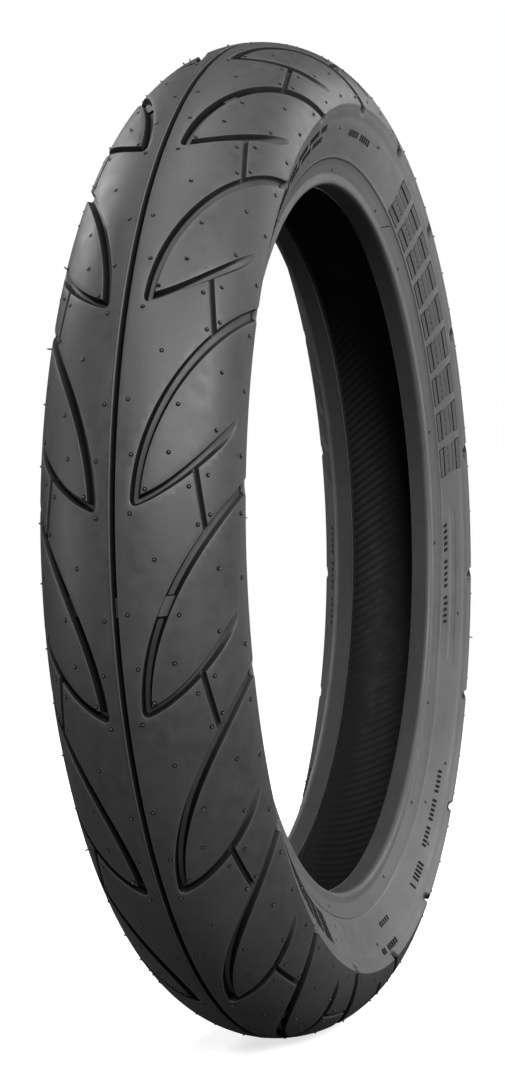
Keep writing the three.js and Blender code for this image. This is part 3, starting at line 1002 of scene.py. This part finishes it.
def bead_wires(name, side, material):
    """The bead core as wound: wires that lie in a hexagon, five across."""
    loop = np.array(section("bead_core_" + name))
    centre = (loop.min(axis=0) + loop.max(axis=0)) / 2
    pitch = np.ptp(loop[:, 0]) / 5
    around = np.arange(8) * FULL_TURN / 8
    wires = []
    for row in range(-2, 3):
        count = 5 - abs(row)
        for i in range(count):
            middle = centre + [row * pitch * math.sqrt(3) / 2, (i - (count - 1) / 2) * pitch]
            wire = np.stack([np.cos(around), np.sin(around)], axis=-1) * pitch * 0.49 + middle
            wires.append(spun(wire, 120)[:2])
    return new_piece(
        "bead_wires_" + name, *merged(wires), "bead_wire", material, "bead_core_" + name, smooth_below=60
    )


# ---- Inner liner ----

LINER_RIDGES = 280
LINER_RIDGE_HEIGHT = 0.5
LINER_LEAN = math.tan(math.radians(34))


def smoothed(corners, step=4.0):
    """A soft curve through a row of corners, as points about `step` apart."""
    corners = np.asarray(corners, float)
    padded = np.concatenate([[2 * corners[0] - corners[1]], corners, [2 * corners[-1] - corners[-2]]])
    curve = [corners[0]]
    for before, start, end, after in zip(padded, padded[1:], padded[2:], padded[3:]):
        count = max(1, round(np.linalg.norm(end - start) / step))
        for t in np.arange(1, count + 1) / count:
            curve.append(
                0.5 * (2 * start + (end - before) * t
                + (2 * before - 5 * start + 4 * end - after) * t**2
                + (3 * start - before - 3 * end + after) * t**3)
            )  # fmt: skip
    return np.array(curve)


def liner_relief(place, angle):
    """Ridges left by the bladder that pressed the tyre into its mould."""
    crest = (1 + np.cos(LINER_RIDGES * angle)) / 2
    return np.where(place > HIDDEN, crest * LINER_RIDGE_HEIGHT, 0)


def inner_liner(material):
    """The liner's rows of points are skewed, so that the ridges slant across the tyre."""
    loop = section("inner_liner")
    right_end = min((c for c in loop if c[0] < min(loop)[0] + 2 and c[1] < 0), key=lambda c: c[1])
    left_end = min(loop, key=lambda c: math.dist(c, (right_end[0], -right_end[1])))
    ways = chains(loop, right_end, left_end)
    inside, outside = sorted(ways, key=lambda way: sum(r for r, _ in way) / len(way))
    inside = smoothed(inside)
    steps = np.linalg.norm(np.diff(inside, axis=0), axis=1)
    places = np.concatenate([[0], np.cumsum(steps)])
    places -= places[-1] / 2
    outside = np.array(outside[1:-1][::-1])
    beside = [np.argmin(np.linalg.norm(inside - corner, axis=1)) for corner in outside]
    skew = np.concatenate([places, places[beside]]) * LINER_LEAN / TYRE_RADIUS
    columns = np.concatenate([places, np.full(len(outside), HIDDEN)])
    outline = np.concatenate([inside, outside])
    points, faces, _ = spun(outline, LINER_RIDGES * 4, liner_relief, columns, skew)
    return new_piece("inner_liner_rubber", points, faces, "liner_rubber", material, "inner_liner")


# ---- Materials ----


def add_node(tree, kind, inputs=None, **settings):
    """A shader node. Each entry of `inputs` is a value, or an output socket to link."""
    made = tree.nodes.new(kind)
    for name, value in settings.items():
        setattr(made, name, value)
    for name, value in (inputs or {}).items():
        if isinstance(value, bpy.types.NodeSocket):
            tree.links.new(value, made.inputs[name])
        else:
            made.inputs[name].default_value = value
    return made


def grey(value):
    return (value, value, value * 1.01, 1.0)


def maths(tree, operation, first, second=0.0):
    return add_node(tree, "ShaderNodeMath", {0: first, 1: second}, operation=operation).outputs[0]


def mix(tree, share, first, second):
    made = add_node(tree, "ShaderNodeMix", data_type="RGBA")
    for index, value in ((0, share), (6, first), (7, second)):
        if isinstance(value, bpy.types.NodeSocket):
            tree.links.new(value, made.inputs[index])
        else:
            made.inputs[index].default_value = value
    return made.outputs[2]


def noise(tree, where, scale, detail=3.0, roughness=0.55):
    inputs = {"Vector": where, "Scale": scale, "Detail": detail, "Roughness": roughness}
    return add_node(tree, "ShaderNodeTexNoise", inputs).outputs["Fac"]


def ranged(tree, value, low, high, to_low=0.0, to_high=1.0):
    inputs = {"Value": value, "From Min": low, "From Max": high, "To Min": to_low, "To Max": to_high}
    return add_node(tree, "ShaderNodeMapRange", inputs).outputs[0]


def new_material(name):
    material = bpy.data.materials.new(name)
    material.use_nodes = True
    tree = material.node_tree
    shader = tree.nodes["Principled BSDF"]
    where = add_node(tree, "ShaderNodeTexCoord").outputs["Object"]
    return material, tree, shader, where


def round_axle(tree, where):
    """Coordinates that follow the tyre round: (distance from the axle, turn, distance along the axle)."""
    parts = add_node(tree, "ShaderNodeSeparateXYZ", {0: where}).outputs
    squares = maths(tree, "ADD", maths(tree, "MULTIPLY", parts[0], parts[0]), maths(tree, "MULTIPLY", parts[2], parts[2]))
    radius = maths(tree, "SQRT", squares)
    turn = maths(tree, "ARCTAN2", parts[2], parts[0])
    return add_node(tree, "ShaderNodeCombineXYZ", {0: radius, 1: turn, 2: parts[1]}).outputs[0]


def bumped(tree, shader, height, depth, normal=None):
    """Adds relief `depth` millimetres deep to a shader, on top of `normal` if that is given."""
    inputs = {"Height": height, "Distance": depth * MM, "Strength": 1.0}
    if normal is not None:
        inputs["Normal"] = normal
    bump = add_node(tree, "ShaderNodeBump", inputs)
    tree.links.new(bump.outputs[0], shader.inputs["Normal"])
    return bump.outputs[0]


def scaled(tree, where, scale):
    return add_node(tree, "ShaderNodeVectorMath", {0: where, 1: scale}, operation="MULTIPLY").outputs[0]


def moulded_rubber(name, base, dust, roughness, streaks, grain_depth=0.05):
    """Black rubber with fine grain, patches of whitish bloom and faint marks that run round the tyre, plus the
    painted highlight and painted shade that each point of a piece carries.
    """
    material, tree, shader, where = new_material(name)
    turned_round = round_axle(tree, where)
    grain = noise(tree, where, 1500.0, detail=2.0)
    mottle = noise(tree, where, 130.0, detail=4.0)
    patches = ranged(tree, noise(tree, where, 14.0, detail=5.0, roughness=0.6), 0.42, 0.75)
    lines = noise(tree, scaled(tree, turned_round, (620.0, 2.6, 620.0)), 1.0, detail=4.0, roughness=0.65)
    colour = mix(tree, ranged(tree, mottle, 0.3, 0.7), grey(base * 0.86), grey(base * 1.14))
    colour = mix(tree, maths(tree, "MULTIPLY", patches, dust), colour, grey(base * 2.0))
    lines_share = ranged(tree, lines, 0.35, 0.7, 0.0, streaks)
    colour = mix(tree, lines_share, colour, grey(base * 1.9))
    pale = add_node(tree, "ShaderNodeAttribute", attribute_name="pale").outputs["Fac"]
    dark = add_node(tree, "ShaderNodeAttribute", attribute_name="dark").outputs["Fac"]
    # Painted highlight: lighter colour on groove lips, wear-bar tops, the heel and stub tips.
    colour = mix(tree, maths(tree, "MULTIPLY", pale, 0.6), colour, grey(base * 3))
    # Painted shade: near-black colour in groove walls, notches, mark grounds, the bead seat and round stubs;
    # shaded places also lose their gloss.
    colour = mix(tree, dark, colour, grey(base * 0.08))
    tree.links.new(colour, shader.inputs["Base Color"])
    rough = ranged(tree, mottle, 0.3, 0.7, roughness - 0.06, roughness + 0.06)
    tree.links.new(ranged(tree, dark, 0.0, 1.0, rough, 0.9), shader.inputs["Roughness"])
    tree.links.new(ranged(tree, dark, 0.0, 1.0, 0.5, 0.05), shader.inputs["Specular IOR Level"])
    coarse = bumped(tree, shader, lines, 0.1 * streaks)
    bumped(tree, shader, grain, grain_depth, coarse)
    return material


def tread_material():
    return moulded_rubber("tread rubber", 0.035, 0.35, 0.52, 0.06)


def sidewall_material():
    return moulded_rubber("sidewall rubber", 0.07, 0.45, 0.46, 0.1)


def rim_material():
    return moulded_rubber("rim strip rubber", 0.062, 0.35, 0.5, 0.08)


def liner_material():
    # The liner rubber is black; its base is set darker still, as painted shade for the inside of the tyre.
    return moulded_rubber("inner liner rubber", 0.004, 0.15, 0.7, 0.06)


def base_material():
    return moulded_rubber("base rubber", 0.03, 0.2, 0.6, 0.1)


def ply_material():
    """Rubbered fabric: cords side by side, 40 degrees off the tyre's centre line."""
    material, tree, shader, where = new_material("ply fabric")
    turned_round = round_axle(tree, where)
    parts = add_node(tree, "ShaderNodeSeparateXYZ", {0: turned_round}).outputs
    across = maths(tree, "MULTIPLY", parts[2], 4200.0)
    phase = maths(tree, "ADD", across, maths(tree, "MULTIPLY", parts[1], 1260.0))
    cords = maths(tree, "SINE", phase)
    fuzz = noise(tree, where, 900.0)
    share = ranged(tree, maths(tree, "ADD", cords, fuzz), -0.6, 1.6)
    colour = mix(tree, share, (0.03, 0.028, 0.025, 1), (0.14, 0.12, 0.09, 1))
    tree.links.new(colour, shader.inputs["Base Color"])
    shader.inputs["Roughness"].default_value = 0.85
    bumped(tree, shader, cords, 0.15)
    return material


def wire_material():
    """Bronze-coated steel wire with a few dull patches."""
    material, tree, shader, where = new_material("bead wire")
    patches = noise(tree, where, 200.0, detail=4.0)
    colour = mix(tree, ranged(tree, patches, 0.35, 0.65), (0.42, 0.3, 0.16, 1), (0.24, 0.2, 0.15, 1))
    tree.links.new(colour, shader.inputs["Base Color"])
    tree.links.new(ranged(tree, patches, 0.3, 0.7, 0.28, 0.5), shader.inputs["Roughness"])
    shader.inputs["Metallic"].default_value = 0.9
    bumped(tree, shader, noise(tree, where, 2500.0), 0.02)
    return material


# ---- Stage ----

FLOOR_LEVEL = -TYRE_RADIUS
FLOOR_RADIUS = 30000
FLOOR_GLOW_NEAR = 0.7


def floor_material():
    """A whitish floor. To the camera it is lit evenly to white, apart from the tyre's shadow close to it;
    on to the tyre it throws only a little light."""
    material, tree, shader, where = new_material("floor")
    seen = add_node(tree, "ShaderNodeLightPath").outputs["Is Camera Ray"]
    away = add_node(tree, "ShaderNodeVectorMath", {0: where}, operation="LENGTH").outputs["Value"]
    glow = ranged(tree, away, 0.3, 1.0, FLOOR_GLOW_NEAR, 1.0)
    tree.links.new(mix(tree, seen, grey(0.1), grey(0.8)), shader.inputs["Base Color"])
    tree.links.new(maths(tree, "MULTIPLY", seen, glow), shader.inputs["Emission Strength"])
    shader.inputs["Emission Color"].default_value = (1, 1, 1, 1)
    shader.inputs["Roughness"].default_value = 0.9
    shader.inputs["Specular IOR Level"].default_value = 0.1
    return material


def floor():
    angles = np.arange(64) * FULL_TURN / 64
    rim = [(FLOOR_RADIUS * MM * math.cos(a), FLOOR_RADIUS * MM * math.sin(a), 0) for a in angles]
    mesh = bpy.data.meshes.new("floor")
    mesh.from_pydata(rim, [], [tuple(range(len(rim)))])
    mesh.materials.append(floor_material())
    made = bpy.data.objects.new("floor", mesh)
    made.location.z = FLOOR_LEVEL * MM
    bpy.context.scene.collection.objects.link(made)


WORLD_LIGHT = 0.06


def world():
    """White to the camera, and a weaker even light for everything else."""
    made = bpy.data.worlds.new("studio")
    made.use_nodes = True
    tree = made.node_tree
    seen = add_node(tree, "ShaderNodeLightPath").outputs["Is Camera Ray"]
    background = tree.nodes["Background"]
    strength = ranged(tree, seen, 0.0, 1.0, WORLD_LIGHT, 1.0)
    tree.links.new(strength, background.inputs["Strength"])
    background.inputs["Color"].default_value = (1, 1, 1, 1)
    bpy.context.scene.world = made


def soft_light(name, turn, height, power):
    """A square softbox that faces the middle of the tyre. `turn` is in degrees from the tread in front
    towards the right, and `height` in degrees above the axle."""
    turn, height = math.radians(turn), math.radians(height)
    place = Vector(
        (-math.cos(turn) * math.cos(height), -math.sin(turn) * math.cos(height), math.sin(height))
    )
    data = bpy.data.lights.new(name, "AREA")
    data.shape = "SQUARE"
    data.size = LIGHT_SIZE
    data.energy = power
    light = bpy.data.objects.new(name, data)
    light.location = place * LIGHT_DISTANCE
    light.rotation_mode = "QUATERNION"
    light.rotation_quaternion = (-place).to_track_quat("-Z", "Y")
    bpy.context.scene.collection.objects.link(light)


LIGHT_SIZE = 0.9
LIGHT_DISTANCE = 2.6


def lights():
    soft_light("right", 62, 25, 54)
    soft_light("right front", 26, 22, 40)
    soft_light("back high", 150, 30, 16)
    soft_light("back low", 140, -2, 14)
    soft_light("front high", 0, 50, 22)
    soft_light("top", 0, 88, 16)
    soft_light("left back", -110, 38, 24)
    soft_light("left front", -65, 2, 16)


CAMERA_AZIMUTH = -73.0
CAMERA_ELEVATION = -2.0
CAMERA_ROLL = -0.55
CAMERA_DISTANCE = 1.3096
CAMERA_SHIFT = -0.020
CAMERA_LENS = 69.8
SENSOR = 36.0


def camera():
    """The camera stands close to the tread, a little to the right of it, at the height of the axle."""
    data = bpy.data.cameras.new("camera")
    data.lens = CAMERA_LENS
    data.sensor_width = SENSOR
    azimuth, elevation = math.radians(CAMERA_AZIMUTH), math.radians(CAMERA_ELEVATION)
    back = Vector(
        (
            math.sin(azimuth) * math.cos(elevation),
            -math.cos(azimuth) * math.cos(elevation),
            math.sin(elevation),
        )
    )
    right = (-back).cross(Vector((0, 0, 1))).normalized()
    aim = (-back + right * CAMERA_SHIFT).normalized()
    made = bpy.data.objects.new("camera", data)
    made.location = back * CAMERA_DISTANCE
    made.rotation_mode = "QUATERNION"
    made.rotation_quaternion = aim.to_track_quat("-Z", "Y")
    made.rotation_quaternion @= Matrix.Rotation(math.radians(CAMERA_ROLL), 3, "Z").to_quaternion()
    bpy.context.scene.collection.objects.link(made)
    bpy.context.scene.camera = made


# ---- The tyre ----


def hidden_layers():
    """Round copies of the layers that lie inside the tyre."""
    base = base_material()
    ply = ply_material()
    smooth_ring("tread_base_rubber", "tread_base", "base_rubber", base)
    for node in ("breaker_ply_outer", "breaker_ply_inner", "carcass_ply_outer", "carcass_ply_inner"):
        smooth_ring(node + "_fabric", node, "ply_fabric", ply)
    for side in SIDES:
        smooth_ring("breaker_edge_gum_" + side, "breaker_edge_strip_" + side, "base_rubber", base)
        smooth_ring("bead_filler_rubber_" + side, "bead_filler_" + side, "base_rubber", base)
        smooth_ring("bead_flipper_fabric_" + side, "bead_flipper_" + side, "ply_fabric", ply)
        smooth_ring("chafer_fabric_" + side, "chafer_" + side, "ply_fabric", ply)


def tyre():
    tread = tread_material()
    side_rubber = sidewall_material()
    rim = rim_material()
    wire = wire_material()
    tread_cap(tread)
    wear_bars(tread)
    parting_flash(tread)
    tread_vents(tread)
    inner_liner(liner_material())
    hidden_layers()
    for name, side in SIDES.items():
        sidewall(name, side, side_rubber)
        side_marks(name, side, side_rubber)
        side_vents(name, side, side_rubber)
        rim_strip(name, side, rim)
        toe_flash(name, side, rim)
        bead_wires(name, side, wire)


tyre()
floor()
world()
lights()
camera()
bpy.context.scene.view_settings.view_transform = "Standard"
